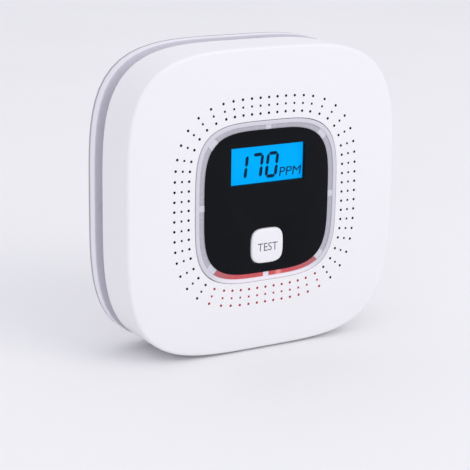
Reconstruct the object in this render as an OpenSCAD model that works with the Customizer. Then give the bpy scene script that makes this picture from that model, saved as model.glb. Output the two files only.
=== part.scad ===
// Battery carbon monoxide detector on a twist-lock wall plate.
// X runs to the right, Y into the wall and Z up.
// The origin is on the wall, midway between the two wall screws.

/* [Body] */
// Width and height of the front face
body_w = 115; // [110:1:140]
// Depth from the wall to the front face
body_d = 32; // [32:0.5:40]
// Power of the rounded-square outline
corner_power = 3.9; // [3.4:0.1:5]
// Side wall of the front cover
cover_wall = 2.2; // [1.6:0.1:3]
// Thickness of the front face
face_t = 2; // [1.6:0.1:3]
// Rounding of the front edge
edge_r = 1.2; // [0.6:0.1:1.6]
// Width of the shadow groove between the cover and the plate
groove_w = 5.6; // [3:0.1:8]
// How far the rear housing stands in from the cover's side
groove_in = 4.5; // [3:0.1:6]
// Wall of the rear housing
housing_wall = 2; // [1.4:0.1:3]

/* [Mounting plate] */
// How much wider the plate is than the front face
plate_extra = 1; // [0:0.5:4]
// Depth of the plate's rim
plate_d = 5.2; // [4.6:0.1:8]
// Wall of the plate
plate_t = 2; // [1.4:0.1:3]
// Web left between the round opening and a screw pocket
pocket_margin = 0.9; // [0.5:0.1:1.5]
// Width of a wall screw slot
slot_w = 4.8; // [4:0.1:6]
// End-to-end length of a wall screw slot
slot_len = 9; // [6.5:0.5:10]
// Diameter of the pocket that takes a wall screw's head
head_d = 9.2; // [8:0.1:11]
// Reach of a bayonet lug beyond the boss
lug_reach = 3.5; // [2.5:0.1:4]
// Turn that frees the detector from the plate
unlock_angle = 18; // [14:1:20]

/* [Vent field] */
// Diameter of a vent hole
vent_d = 1.1; // [0.8:0.1:1.4]
// Distance from the light ring to the innermost ring of holes
vent_margin = 2.8; // [2:0.1:5]
// Distance from one ring of holes to the next
vent_step = 2.9; // [2.4:0.1:3]
// Spacing of the holes along a side
vent_pitch = 3.6; // [3:0.1:3.7]

/* [Front panel] */
// Width of the black panel
panel_w = 52.8; // [52:0.1:54]
// Width of the light ring's band
ring_band = 3.8; // [3:0.1:5]
// Width of the band's raised outer edge
ring_lip = 1.4; // [0.8:0.1:1.6]
// Width of the display window
window_w = 30.8; // [26:0.1:31]
// Height of the display window
window_h = 13.8; // [11:0.1:14.4]
// Distance from the panel's upper edge to the window
window_margin = 5.5; // [5:0.1:7]
// Width of the test button
button_w = 13.8; // [11:0.1:14.5]
// Height of the test button
button_h = 13.4; // [11:0.1:14]
// Distance from the panel's lower edge to the button
button_margin = 3.1; // [2.8:0.1:5]
// Travel of the test button
button_travel = 0.8; // [0.4:0.1:0.9]

/* [Batteries] */
// Diameter of an AA cell
cell_d = 14.2; // [13.5:0.1:14.5]
// Length of an AA cell without its nub
cell_len = 49.2; // [48:0.1:49.5]
// Free length left for a battery spring
spring_len = 5; // [4:0.1:5.5]
// Thickness of the battery door
door_t = 1.6; // [1.2:0.1:2]

/* [Circuit board] */
// Thickness of the circuit board
board_t = 1.6; // [1:0.1:2]
// Distance from the front face to the board
board_depth = 7.6; // [7.4:0.1:8.4]

/* [Hidden] */
$fn = 48;
eps = 0.01;

// Clearances
gap = 0.2;
turn_gap = 0.4;
slide_gap = 0.25;
pin_gap = 0.08;

// Depths, measured along Y from the wall
face_y = -body_d;
face_back = face_y + face_t;
cover_rear = -plate_d - groove_w;
web_front = -plate_d;
web_back = web_front + plate_t;
housing_back = web_front - 0.3;
housing_in = housing_back - housing_wall;
boss_back = -1;
board_front = face_y + board_depth;
board_back = board_front + board_t;

// Outlines
body_half = body_w / 2;
cover_in = body_half - cover_wall;
plate_half = body_half + plate_extra / 2;
housing_half = body_half - groove_in;
flange_half = cover_in - gap;
panel_half = panel_w / 2;
ring_in = panel_half + gap;
ring_half = ring_in + ring_band;
ring_step = ring_half - ring_lip;
vent_half = ring_half + vent_margin;
tray_out = panel_half - 0.1;
tray_in = tray_out - 0.6;
outline_steps = 96;
small_steps = 48;

// Front panel
panel_front = face_y - 0.3;
panel_t = 1.6;
panel_back = panel_front + panel_t;
ring_front = face_y - 0.2;
ring_floor = face_y + 1;
ring_flange_front = face_back + 0.1;
ring_flange_t = 0.8;
ring_back = ring_flange_front + ring_flange_t;
rib_w = 2.4;
window_up = panel_half - window_margin - window_h / 2;
window_flange = 0.9;
window_flange_t = 0.25;

// Test button and its switch
button_proud = 0.6;
button_power = 3.6;
button_down = panel_half - button_margin - button_h / 2;
button_front = panel_front - button_proud;
button_flange = 1.3;
button_flange_front = panel_back + 0.2;
button_flange_t = 0.8;
button_back = button_flange_front + button_flange_t;
switch_w = 6;
switch_h = 3.4;
switch_front = board_front - switch_h;
plunger_r = 1.7;
plunger_front = switch_front - 0.9;
plunger_back = switch_front + 0.8;
plunger_well = plunger_back + button_travel + 0.2;

// Display
glass_t = 2.2;
glass_front = panel_back + window_flange_t + 0.15;
glass_back = glass_front + glass_t;
backlight_t = 2;
holder_wall = 0.9;
holder_play = 0.15;
glass_half_w = window_w / 2 + 1.6;
glass_up = window_up - 0.4;
glass_half_h = window_h / 2 + 2;

// Board and case fixings
post_r = 3.6;
post_at = (housing_half - housing_wall) * pow(0.5, 1 / corner_power) - (post_r + gap) * sqrt(0.5);
post_join = housing_back - 8.5;
case_screw_r = 1.5;
case_head_r = 2.8;
case_head_y = housing_back - 3.5;
vent_rim = 1.2;
board_post_r = 2.6;
board_post_x = vent_half + 2 * vent_step + vent_rim + board_post_r + gap;
board_post_z = 14;
board_half = board_post_x + 3;
board_screw_r = 1.1;
board_head_r = 2.4;

// Battery bay and door
pad_t = 0.8;
door_back = boss_back;
door_in = door_back - door_t;
cell_r = cell_d / 2;
cell_nub_r = 2.75;
cell_nub = 1;
cell_y = door_in - pad_t - 0.1 - cell_r;
cell_z = cell_r + 0.25;
contact_t = 0.4;
bay_half_w = (cell_len + cell_nub + spring_len) / 2 + contact_t + 0.1;
bay_half_h = cell_z + cell_r + 0.35;
bay_wall = 1.4;
bay_floor = cell_y - cell_r - 0.2;
cell_x = (spring_len - cell_nub) / 2;
knuckle_r = 1.3;
hinge_pin_r = 0.8;
hinge_pin_len = 1.2;
hinge_y = door_back - 1.6;
hinge_z = -bay_half_h - 1;
trough_reach = 2.2;
ear_w = 2;
latch_w = 12;
latch_notch_r = latch_w / 2 + 1;
bay_margin = 0.19;
boss_r = norm([bay_half_w + ear_w, trough_reach + bay_wall - hinge_z]) + bay_margin;
pocket_half = (slot_len - slot_w + head_d) / 2;
screw_spacing = 2 * (boss_r + turn_gap + pocket_margin + plate_t + pocket_half);
label_h = 8;
label_z = bay_half_h + latch_notch_r + 1.7 + label_h / 2;
label_half_w = sqrt(pow(boss_r, 2) - pow(label_z + label_h / 2, 2)) - 0.5;

// Parts on the back of the board
sensor_x = -21;
sensor_r = 9;
sensor_h = 12;
sensor_foot = 0.6;
sensor_z = -(bay_half_h + bay_wall + 6.8 + sensor_r);
buzzer_x = 19;
buzzer_r = 13;
buzzer_h = 9;
buzzer_wall = 1.2;
buzzer_foot = 0.3;
buzzer_z = -(bay_half_h + bay_wall + 2.8 + buzzer_r);
led_from_centre = (ring_in + ring_step) / 2;
led_h = 1.6;
tab_w = 3;
tab_y = bay_floor + 0.1;
tab_end = board_back + 1.5;
tab_x = bay_half_w + bay_wall + 0.6;
wire_r = 0.7;
wire_y = bay_floor - 0.6;
wire_bend = min(2.4, (wire_y - board_back) / 2);
wire_x = tab_x + contact_t / 2 + 2 * wire_bend;
side_chip_x = wire_x + wire_r + 1.2;

// Radius of a unit rounded square in the direction a
function reach(a, power) = 1 / pow(pow(abs(cos(a)), power) + pow(abs(sin(a)), power), 1 / power);

// Outline of a rounded square with half width hw and half height hh
function outline(hw, hh, power, steps) =
    [for (i = [0:steps - 1])
        let (a = 360 * i / steps, r = reach(a, power))
        [hw * r * cos(a), hh * r * sin(a)]];

module round_square(half) {
    polygon(outline(half, half, corner_power, outline_steps));
}

module round_button(grow) {
    polygon(outline(button_w / 2 + grow, button_h / 2 + grow, button_power, small_steps));
}

// A flat shape drawn with X to the right and Z up, extruded from y0 back to y1
module slab(y0, y1) {
    translate([0, y1, 0])
        rotate([90, 0, 0])
            linear_extrude(y1 - y0)
                children();
}

// A round bar along Y, centred on x and z
module bar_y(x, z, r, y0, y1) {
    translate([x, y1, z])
        rotate([90, 0, 0])
            cylinder(r = r, h = y1 - y0);
}

// A round bar along X, centred on y and z
module bar_x(y, z, r, x0, x1) {
    translate([x0, y, z])
        rotate([0, 90, 0])
            cylinder(r = r, h = x1 - x0);
}

// A box between two corners
module block(low, high) {
    translate(low)
        cube(high - low);
}

module obround(length, r) {
    square([length - 2 * r, 2 * r], center = true);
    for (side = [-1, 1])
        translate([side * (length / 2 - r), 0])
            circle(r = r);
}

// A wedge of the flat plane between two directions
module sector(r, a0, a1) {
    rim = [for (i = [0:4]) let (a = a0 + (a1 - a0) * i / 4) r * [cos(a), sin(a)]];
    polygon(concat([[0, 0]], rim));
}

// A piece of a flat ring between two directions
module ring_piece(r0, r1, a0, a1) {
    intersection() {
        difference() {
            circle(r = r1, $fn = 96);
            circle(r = r0, $fn = 96);
        }
        sector(r1 + 10, a0, a1);
    }
}

// A tube with a rounded-square outline
module square_tube(half_out, half_in, y0, y1) {
    slab(y0, y1)
        difference() {
            round_square(half_out);
            round_square(half_in);
        }
}

// A copy at each of the four places that mirror one another
module at_corners(x, z) {
    for (sx = [-1, 1])
        for (sz = [-1, 1])
            translate([sx * x, 0, sz * z])
                children();
}

// ---- Wall plate ----

// Where the lugs are when the detector is locked, and how wide they are
lug_mid = 45;
lug_half = 8;
lug_gap = 1;
notch_mid = lug_mid + unlock_angle;
notch_half = lug_half + lug_gap;

module plate_web() {
    slab(web_front, web_back)
        difference() {
            round_square(plate_half - eps);
            circle(r = boss_r + turn_gap, $fn = 96);
            for (k = [0:3])
                rotate(90 * k)
                    ring_piece(boss_r - 1, boss_r + lug_reach + 0.5,
                        notch_mid - notch_half, notch_mid + notch_half);
        }
}

module plate_stops() {
    for (k = [0:3])
        for (a = [lug_mid - lug_half - 3.5, lug_mid + lug_half + unlock_angle + 1.5])
            slab(web_back - eps, web_back + 2)
                rotate(90 * k)
                    ring_piece(boss_r + turn_gap + 0.2, boss_r + lug_reach + 0.6, a, a + 2);
}

module mounting_plate() {
    color([0.9, 0.9, 0.93])
        difference() {
            union() {
                square_tube(plate_half, plate_half - plate_t, web_front, 0);
                plate_web();
                plate_stops();
                for (side = [-1, 1])
                    translate([side * screw_spacing / 2, 0, 0])
                        slab(web_front, 0)
                            obround(2 * (pocket_half + plate_t), head_d / 2 + plate_t);
            }
            for (side = [-1, 1])
                translate([side * screw_spacing / 2, 0, 0]) {
                    slab(web_front - 1, -plate_t)
                        obround(2 * pocket_half, head_d / 2);
                    slab(-plate_t - 1, 1)
                        obround(slot_len, slot_w / 2);
                }
            slab(web_back, 1)
                circle(r = boss_r + turn_gap, $fn = 96);
        }
}

// ---- Front cover ----

// Columns of holes on each half of a side, and columns round a corner
vent_columns = 5;
corner_columns = 4;
vent_power = 3.7;

// Direction of the column that stands at distance x along a side of the innermost ring
function side_direction(x) =
    atan2(vent_half * pow(1 - pow(abs(x) / vent_half, vent_power), 1 / vent_power), x);

// Directions of all the columns of holes in one quarter of the field
function quarter_directions() =
    let (last = side_direction(vent_columns * vent_pitch), step = 2 * (last - 45) / (corner_columns + 1))
    concat(
        [for (k = [-vent_columns:vent_columns]) side_direction(k * vent_pitch)],
        [for (k = [1:corner_columns]) last - k * step]);

// A direction square to the innermost ring at the direction a
function square_to(a) =
    let (s = vent_power - 1, c = cos(a), d = sin(a),
        v = [sign(c) * pow(abs(c), s), sign(d) * pow(abs(d), s)])
    v / norm(v);

// A vent hole's place in ring k, along the direction a
function vent_place(a, k) =
    vent_half * reach(a, vent_power) * [cos(a), sin(a)] + k * vent_step * square_to(a);

module vent_holes(y0, y1) {
    for (turn = [0:3])
        for (a = quarter_directions())
            for (k = [0:2]) {
                p = vent_place(a + 90 * turn, k);
                bar_y(p[0], p[1], vent_d / 2, y0, y1, $fn = 16);
            }
}

// The cover's outer shape: a rounded-square block whose front edge is rounded
module cover_block() {
    arc = 4;
    rounding = [for (i = [0:arc])
        let (t = 90 * i / arc)
        [body_half - edge_r * (1 - sin(t)), face_y + edge_r * (1 - cos(t))]];
    levels = concat(rounding, [[body_half, cover_rear]]);
    n = outline_steps;
    points = [for (l = levels) for (p = outline(l[0], l[0], corner_power, n)) [p[0], l[1], p[1]]];
    faces = concat(
        [[for (i = [n - 1:-1:0]) i]],
        [for (j = [0:len(levels) - 2]) for (i = [0:n - 1])
            [j * n + i, j * n + (i + 1) % n, (j + 1) * n + (i + 1) % n, (j + 1) * n + i]],
        [[for (i = [0:n - 1]) (len(levels) - 1) * n + i]]);
    polyhedron(points, faces, convexity = 4);
}

module front_cover() {
    color([0.94, 0.94, 0.96])
        difference() {
            union() {
                difference() {
                    cover_block();
                    slab(face_back, cover_rear + 1)
                        round_square(cover_in);
                }
                at_corners(post_at, post_at)
                    bar_y(0, 0, post_r, face_back - eps, post_join - 0.05);
                at_corners(board_post_x, board_post_z)
                    bar_y(0, 0, board_post_r, face_back - eps, board_front);
            }
            slab(face_y - 1, face_back + 1)
                round_square(ring_half + gap / 2);
            vent_holes(face_y - 1, face_back + 1);
            at_corners(post_at, post_at)
                bar_y(0, 0, case_screw_r, face_back + 1, post_join + 1);
            at_corners(board_post_x, board_post_z)
                bar_y(0, 0, board_screw_r, face_back + 1, board_front + 1);
        }
}

module vent_screen() {
    outer = vent_half + 2 * vent_step + vent_rim;
    color([0.2, 0.2, 0.23])
        slab(face_back + 0.02, face_back + 0.32)
            difference() {
                round_square(outer);
                round_square(vent_half - 0.9);
                // Cut clear of the posts for the case screws
                for (sx = [-1, 1])
                    for (sz = [-1, 1])
                        translate([sx * post_at, sz * post_at])
                            circle(r = post_r + 0.4);
            }
}

// ---- Rear housing ----

module bay_box(grow, y0, y1) {
    slab(y0, y1)
        square([2 * (bay_half_w + grow), 2 * (bay_half_h + grow)], center = true);
}

module housing_shell() {
    // Back wall
    slab(housing_in, housing_back)
        difference() {
            round_square(housing_half);
            circle(r = boss_r - housing_wall, $fn = 96);
        }
    // Side wall, which runs forward into the cover
    square_tube(housing_half, housing_half - housing_wall, cover_rear - 6, housing_in + eps);
    // Flange that closes the cover's rear edge
    square_tube(flange_half, housing_half - eps, cover_rear - 1.8, cover_rear - gap);
    // Round boss that turns in the wall plate
    slab(housing_in - eps, boss_back)
        difference() {
            circle(r = boss_r, $fn = 96);
            circle(r = boss_r - housing_wall, $fn = 96);
        }
    slab(boss_back - housing_wall, boss_back)
        circle(r = boss_r - eps, $fn = 96);
    // Bayonet lugs
    for (k = [0:3])
        slab(web_back + 0.3, boss_back - 0.2)
            rotate(90 * k)
                ring_piece(boss_r - 1, boss_r + lug_reach, lug_mid - lug_half, lug_mid + lug_half);
    // Battery bay
    bay_box(bay_wall, bay_floor - bay_wall, boss_back - eps);
    // Block around the hinge trough and its two ears
    block([-bay_half_w - ear_w, hinge_y - trough_reach - bay_wall, hinge_z - trough_reach - bay_wall],
        [bay_half_w + ear_w, boss_back - 2 * eps, -bay_half_h]);
    // Posts for the case screws
    at_corners(post_at, post_at)
        bar_y(0, 0, post_r + 0.6, post_join, housing_back - eps);
}

module rear_housing() {
    color([0.86, 0.86, 0.89])
        difference() {
            housing_shell();
            bay_box(0, bay_floor, boss_back + 1);
            // Trough in which the door's hinged edge turns
            block([-bay_half_w, hinge_y - trough_reach, hinge_z - trough_reach],
                [bay_half_w, boss_back + 1, -bay_half_h + eps]);
            // Bores for the hinge pins
            bar_x(hinge_y, hinge_z, hinge_pin_r + pin_gap, -bay_half_w - ear_w - 1, bay_half_w + ear_w + 1);
            // Finger notch beside the door's latch
            slab(door_in - 0.4, boss_back + 1)
                translate([0, bay_half_h])
                    circle(r = latch_notch_r);
            // Slots for the four contact tabs
            at_corners(bay_half_w + bay_wall / 2, cell_z)
                block([-bay_wall, tab_y - 0.4, -tab_w / 2 - gap],
                    [bay_wall, tab_y + contact_t + 0.4, tab_w / 2 + gap]);
            at_corners(post_at, post_at) {
                bar_y(0, 0, case_head_r + gap, case_head_y, 1);
                bar_y(0, 0, case_screw_r + gap, post_join - 1, 1);
            }
        }
}

// ---- Panel, window and light ring ----

module window_outline(grow) {
    translate([0, window_up])
        square([window_w + 2 * grow, window_h + 2 * grow], center = true);
}

module lens_panel() {
    color([0.09, 0.09, 0.1])
        slab(panel_front, panel_back)
            difference() {
                round_square(panel_half);
                window_outline(0.05);
                translate([0, -button_down])
                    round_button(slide_gap);
            }
}

module display_window() {
    color([0.6, 0.8, 0.95, 0.4]) {
        slab(panel_front + 0.05, panel_back)
            window_outline(0);
        slab(panel_back, panel_back + window_flange_t)
            window_outline(window_flange);
    }
}

module spokes(half_in, half_out, width) {
    intersection() {
        difference() {
            round_square(half_out);
            round_square(half_in);
        }
        for (a = [0:45:135])
            rotate(a)
                square([4 * half_out, width], center = true);
    }
}

module light_ring() {
    color([0.84, 0.84, 0.88]) {
        square_tube(ring_half, ring_step, ring_front, ring_floor);
        slab(ring_front, ring_floor)
            spokes(ring_in, ring_step + eps, rib_w);
        square_tube(ring_half, ring_in, ring_floor - eps, ring_flange_front);
        square_tube(ring_half + 1.2, ring_in + 0.6, ring_flange_front - eps, ring_back);
    }
}

module light_tray() {
    tray_top = ring_back + 0.1;
    outer = ring_half;
    color([0.95, 0.95, 0.95]) {
        square_tube(outer, outer - 0.8, tray_top, board_front);
        square_tube(tray_out, tray_in, panel_back, board_front);
        slab(tray_top, board_front)
            spokes(panel_half - 0.3, outer - 0.7, 1);
    }
}

// ---- Test button and switch ----

module test_button() {
    color([0.94, 0.94, 0.96])
        translate([0, 0, -button_down]) {
            slab(button_front, button_front + 0.25)
                round_button(-0.3);
            slab(button_front + 0.25 - eps, button_back)
                round_button(0);
            slab(button_flange_front, button_back)
                round_button(button_flange);
            bar_y(0, 0, 2, button_back - eps, plunger_front);
        }
}

module switch_plunger() {
    color([0.15, 0.15, 0.15])
        bar_y(0, -button_down, plunger_r, plunger_front, plunger_back);
}

module switch_base() {
    color([0.3, 0.3, 0.32])
        difference() {
            translate([0, 0, -button_down])
                slab(switch_front, board_front)
                    square(switch_w, center = true);
            bar_y(0, -button_down, plunger_r + 0.1, switch_front - 1, plunger_well);
        }
}

// ---- Display ----

module glass_outline(grow) {
    translate([0, glass_up])
        square([2 * (glass_half_w + grow), 2 * (glass_half_h + grow)], center = true);
}

module lcd_glass() {
    color([0.1, 0.6, 0.95])
        slab(glass_front, glass_back)
            glass_outline(0);
}

module lcd_backlight() {
    color([0.85, 0.92, 1])
        translate([0, 0, glass_up])
            slab(glass_back + 0.05, glass_back + 0.05 + backlight_t)
                square([2 * glass_half_w, 2 * (glass_half_h - 2.4)], center = true);
}

module lcd_connectors() {
    color([0.85, 0.45, 0.6])
        for (side = [-1, 1])
            translate([0, 0, glass_up + side * (glass_half_h - 1.1)])
                slab(glass_back, board_front)
                    square([2 * glass_half_w - 2, 1.8], center = true);
}

module lcd_holder() {
    color([0.93, 0.93, 0.93])
        slab(glass_front + 0.3, board_front)
            difference() {
                glass_outline(holder_play + holder_wall);
                glass_outline(holder_play);
            }
}

// ---- Circuit board and what stands on its front ----

module circuit_board() {
    color([0.05, 0.35, 0.2])
        slab(board_front, board_back)
            difference() {
                round_square(board_half);
                for (sx = [-1, 1])
                    for (sz = [-1, 1]) {
                        translate([sx * post_at, sz * post_at])
                            circle(r = post_r + 0.8);
                        translate([sx * board_post_x, sz * board_post_z])
                            circle(r = board_screw_r + 0.1);
                    }
            }
}

module led(x, z) {
    turned = abs(x) > abs(z);
    translate([x, 0, z])
        slab(board_front - led_h, board_front)
            square(turned ? [1.6, 3] : [3, 1.6], center = true);
}

module red_leds() {
    color([0.85, 0.1, 0.12])
        for (x = [-12.5, -4.5, 4.5, 12.5])
            led(x, -led_from_centre);
}

module green_leds() {
    color([0.2, 0.75, 0.3])
        for (x = [-4.5, 4.5])
            led(x, led_from_centre);
}

module amber_leds() {
    color([0.95, 0.6, 0.1])
        for (side = [-1, 1])
            led(side * led_from_centre, 6);
}

// ---- Parts on the back of the board ----

module sensor_can() {
    color([0.7, 0.7, 0.72]) {
        bar_y(sensor_x, sensor_z, sensor_r, board_back + sensor_foot, board_back + sensor_foot + sensor_h);
        for (a = [90, 210, 330])
            bar_y(sensor_x + 5.5 * cos(a), sensor_z + 5.5 * sin(a), 0.5,
                board_back, board_back + sensor_foot + eps);
    }
}

module sensor_cap() {
    y0 = board_back + sensor_foot + sensor_h;
    color([0.92, 0.92, 0.9])
        difference() {
            bar_y(sensor_x, sensor_z, sensor_r - 2, y0, y0 + 1.4);
            bar_y(sensor_x, sensor_z, 1.5, y0 - 1, y0 + 2);
        }
}

module buzzer_housing() {
    y0 = board_back + buzzer_foot;
    color([0.12, 0.12, 0.13])
        difference() {
            bar_y(buzzer_x, buzzer_z, buzzer_r, y0, y0 + buzzer_h);
            bar_y(buzzer_x, buzzer_z, buzzer_r - buzzer_wall,
                y0 + buzzer_wall, y0 + buzzer_h - buzzer_wall);
            bar_y(buzzer_x, buzzer_z, 2.2, y0 + buzzer_h / 2, y0 + buzzer_h + 1);
        }
}

module piezo_disc() {
    y0 = board_back + buzzer_foot + buzzer_wall;
    color([0.85, 0.7, 0.35]) {
        bar_y(buzzer_x, buzzer_z, buzzer_r - buzzer_wall - 0.1, y0, y0 + 0.4);
        bar_y(buzzer_x, buzzer_z, buzzer_r - 5, y0 + 0.4, y0 + 0.6);
    }
}

module microcontroller() {
    color([0.15, 0.15, 0.16])
        translate([0, 0, 31]) {
            slab(board_back + 0.2, board_back + 1.6)
                square(10, center = true);
            for (k = [-4:4])
                for (a = [0, 90])
                    slab(board_back, board_back + 0.4)
                        rotate(a)
                            translate([k, 0])
                                square([0.5, 13], center = true);
        }
}

module small_chips() {
    color([0.2, 0.2, 0.22]) {
        for (x = [-12, 12])
            block([x - 2.5, board_back, 20.5], [x + 2.5, board_back + 1.5, 24.5]);
        for (x = [-16:4:16])
            block([x - 1, board_back, 39], [x + 1, board_back + 0.6, 40.2]);
        for (z = [-8:4:8])
            for (side = [-1, 1])
                block([side * side_chip_x - 0.6, board_back, z - 1],
                    [side * side_chip_x + 0.6, board_back + 0.6, z + 1]);
    }
}

module capacitors() {
    color([0.2, 0.22, 0.35]) {
        bar_y(24, 32, 4, board_back, board_back + 11);
        bar_y(-24, 32, 3.2, board_back, board_back + 8);
        bar_y(-33, 24, 2.5, board_back, board_back + 6);
    }
}

module inductor() {
    color([0.3, 0.28, 0.26]) {
        bar_y(33, 24, 3.8, board_back, board_back + 1);
        bar_y(33, 24, 2.6, board_back + 1 - eps, board_back + 4);
        bar_y(33, 24, 3.8, board_back + 4 - eps, board_back + 5);
    }
}

// ---- Batteries, contacts and wires ----

// One cell lying along X; side is -1 when its nub points to -X
module battery(z, side) {
    x0 = side * cell_x - cell_len / 2;
    bar_x(cell_y, z, cell_r, x0, x0 + cell_len);
    nub_x = side * (cell_x + cell_len / 2 + cell_nub / 2);
    bar_x(cell_y, z, cell_nub_r, nub_x - cell_nub / 2 - eps, nub_x + cell_nub / 2);
}

module battery_upper() {
    color([0.15, 0.2, 0.3])
        battery(cell_z, -1);
}

module battery_lower() {
    color([0.15, 0.2, 0.3])
        battery(-cell_z, 1);
}

// A cone of spring wire along X, from its wide end at x0 to its narrow end
module coil(x0, z, toward) {
    turns = 3;
    around = 12;
    sides = 8;
    wire = 0.35;
    steps = turns * around;
    reach_x = spring_len - 2 * wire - 0.1;
    points = [for (i = [0:steps]) let (a = 360 * i / around, r = 5 - 2.6 * i / steps)
        for (k = [0:sides - 1]) let (b = 360 * k / sides, rr = r + wire * cos(b))
            [x0 + toward * (wire + reach_x * i / steps + wire * sin(b)),
                cell_y + rr * cos(a), z + rr * sin(a)]];
    side_faces = [for (i = [0:steps - 1]) for (k = [0:sides - 1]) let (m = (k + 1) % sides)
        [i * sides + k, i * sides + m, (i + 1) * sides + m, (i + 1) * sides + k]];
    start_cap = [[for (k = [sides - 1:-1:0]) k]];
    end_cap = [[for (k = [0:sides - 1]) steps * sides + k]];
    all_faces = concat(side_faces, start_cap, end_cap);
    turned_faces = [for (f = all_faces) [for (i = [len(f) - 1:-1:0]) f[i]]];
    polyhedron(points, toward > 0 ? all_faces : turned_faces);
}

module battery_springs() {
    color([0.8, 0.8, 0.78]) {
        coil(bay_half_w - contact_t - 0.05, cell_z, -1);
        coil(-bay_half_w + contact_t + 0.05, -cell_z, 1);
    }
}

module battery_contacts() {
    color([0.75, 0.75, 0.72])
        for (sx = [-1, 1])
            for (sz = [-1, 1]) {
                x_in = sx * (bay_half_w - contact_t / 2 - 0.05);
                block([x_in - contact_t / 2, tab_y, sz * cell_z - 5.5],
                    [x_in + contact_t / 2, cell_y + 5, sz * cell_z + 5.5]);
                x_out = sx * tab_x;
                block([min(x_in, x_out) - contact_t / 2, tab_y, sz * cell_z - tab_w / 2],
                    [max(x_in, x_out) + contact_t / 2, tab_y + contact_t, sz * cell_z + tab_w / 2]);
                block([x_out - contact_t / 2, tab_end, sz * cell_z - tab_w / 2],
                    [x_out + contact_t / 2, tab_y + contact_t, sz * cell_z + tab_w / 2]);
            }
}

// A wire from a contact tab: out along X, round a bend and forward to the board
module wire(side, z) {
    x0 = side * (tab_x + contact_t / 2);
    x1 = x0 + side * wire_bend;
    bar_x(wire_y, z, wire_r, min(x0, x1), max(x0, x1));
    translate([x1, wire_y - wire_bend, z])
        mirror([side < 0 ? 1 : 0, 0, 0])
            rotate_extrude(angle = 90, $fn = 32)
                translate([wire_bend, 0])
                    circle(r = wire_r, $fn = 16);
    bar_y(x1 + side * wire_bend, z, wire_r, board_back, wire_y - wire_bend + eps);
}

module red_wire() {
    color([0.8, 0.1, 0.1])
        wire(-1, cell_z);
}

module black_wire() {
    color([0.1, 0.1, 0.1])
        wire(-1, -cell_z);
}

// ---- Battery door ----

module battery_door() {
    top = bay_half_h - gap;
    side = bay_half_w - gap;
    pin_end = side + hinge_pin_len + gap;
    color([0.86, 0.86, 0.89])
        difference() {
            union() {
                block([-side, door_in, hinge_z - 1], [side, door_back, top]);
                bar_x(hinge_y, hinge_z, knuckle_r, -side, side);
                bar_x(hinge_y, hinge_z, hinge_pin_r, -pin_end, pin_end);
                // Thumb rest of the latch
                block([-latch_w / 2 + 1.4, door_in, top - eps], [latch_w / 2 - 1.4, door_back, top + 2.2]);
            }
            // Slits that let the latch bend
            for (s = [-1, 1])
                block([s * latch_w / 2 - 0.5, door_in - 1, top - 7],
                    [s * latch_w / 2 + 0.5, door_back + 1, top + 1]);
        }
}

module door_pad() {
    color([0.25, 0.25, 0.27])
        block([-20, door_in - pad_t, -6], [20, door_in, 6]);
}

// ---- Screws and label ----

// A pan-head screw along Y, with its head's seat at y and its tip in front
module screw(head_r, head_h, shank_r, length, y) {
    difference() {
        union() {
            bar_y(0, 0, head_r, y, y + head_h);
            bar_y(0, 0, shank_r, y - length, y + eps);
        }
        for (a = [0, 90])
            slab(y + head_h - 0.8, y + head_h + 1)
                rotate(a)
                    square([2.6, 0.6], center = true);
    }
}

module case_screws() {
    color([0.6, 0.6, 0.62])
        at_corners(post_at, post_at)
            screw(case_head_r, 1.8, case_screw_r, 12, case_head_y);
}

module board_screws() {
    color([0.6, 0.6, 0.62])
        at_corners(board_post_x, board_post_z)
            screw(board_head_r, 1.4, board_screw_r, 5.4, board_back);
}

module rating_label() {
    color([0.9, 0.9, 0.88])
        slab(boss_back, boss_back + 0.15)
            translate([0, label_z])
                square([2 * label_half_w, label_h], center = true);
}

mounting_plate();
front_cover();
vent_screen();
rear_housing();
lens_panel();
display_window();
light_ring();
light_tray();
test_button();
switch_plunger();
switch_base();
lcd_glass();
lcd_backlight();
lcd_holder();
lcd_connectors();
circuit_board();
red_leds();
green_leds();
amber_leds();
sensor_can();
sensor_cap();
buzzer_housing();
piezo_disc();
microcontroller();
small_chips();
capacitors();
inductor();
battery_upper();
battery_lower();
battery_springs();
battery_contacts();
battery_door();
door_pad();
red_wire();
black_wire();
case_screws();
board_screws();
rating_label();
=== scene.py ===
from math import atan2, copysign, cos, pi, radians, sin

import bmesh
import bpy
from mathutils import Matrix, Quaternion, Vector


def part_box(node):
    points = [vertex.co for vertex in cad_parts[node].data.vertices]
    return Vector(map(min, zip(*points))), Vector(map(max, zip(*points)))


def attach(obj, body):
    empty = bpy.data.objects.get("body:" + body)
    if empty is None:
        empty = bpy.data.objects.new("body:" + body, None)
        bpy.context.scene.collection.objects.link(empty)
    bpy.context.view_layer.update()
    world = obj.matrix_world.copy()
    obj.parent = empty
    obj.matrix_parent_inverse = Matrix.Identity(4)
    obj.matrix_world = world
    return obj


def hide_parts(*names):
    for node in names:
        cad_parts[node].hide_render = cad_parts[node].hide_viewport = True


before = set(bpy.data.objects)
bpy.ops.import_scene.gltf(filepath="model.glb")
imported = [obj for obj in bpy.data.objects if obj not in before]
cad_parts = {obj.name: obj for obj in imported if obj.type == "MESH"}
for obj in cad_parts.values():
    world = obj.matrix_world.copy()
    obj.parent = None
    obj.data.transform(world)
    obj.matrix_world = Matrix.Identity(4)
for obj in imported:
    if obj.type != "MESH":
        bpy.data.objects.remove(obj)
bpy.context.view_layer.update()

MM = 0.001

# ---- Wall plate ----
# The plate that is screwed to the wall. It is one moulding of satin off-white plastic, and the
# detector turns into its round opening. The rim's front edge is generously rounded.


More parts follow.
